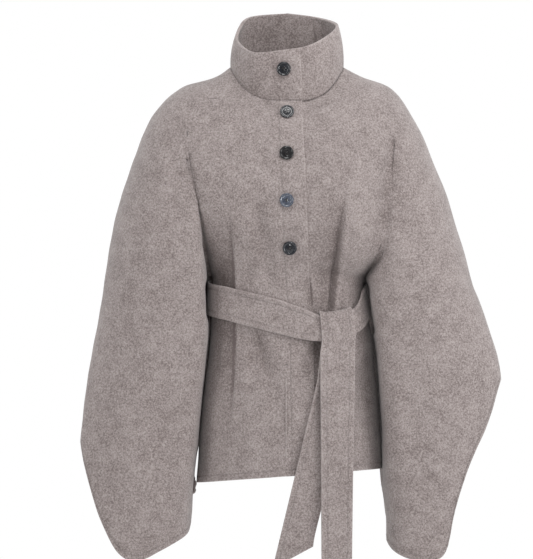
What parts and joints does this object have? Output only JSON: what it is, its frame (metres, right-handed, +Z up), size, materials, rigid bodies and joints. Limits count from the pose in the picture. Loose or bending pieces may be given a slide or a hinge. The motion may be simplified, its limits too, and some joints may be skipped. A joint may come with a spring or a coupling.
{
  "type": "belted cape",
  "caption": "Short wool cape with wide batwing sleeves, a funnel collar, a buttoned front and a tied cloth belt, hanging as worn.",
  "frame": {"origin": "middle of the neck at the level of the shoulder seams' neck ends, where the wearer's shoulders hold the cape", "axes": "+Z up, -Y the way the wearer faces, +X to the wearer's left"},
  "size_m": [0.6818, 0.2577, 0.9283],
  "materials": {
    "wool": "brushed melange coat wool, warm grey",
    "button": "polished near-black with four holes"
  },
  "bodies": {
    "root": {"front_right": "wool", "front_left": "wool", "back": "wool", "collar": "wool", "belt_wrap": "wool", "belt_tie_over": "wool", "belt_tie_under": "wool", "button_1": "button", "button_2": "button", "button_3": "button", "button_4": "button", "button_5": "button"}
  },
  "joints": []
}
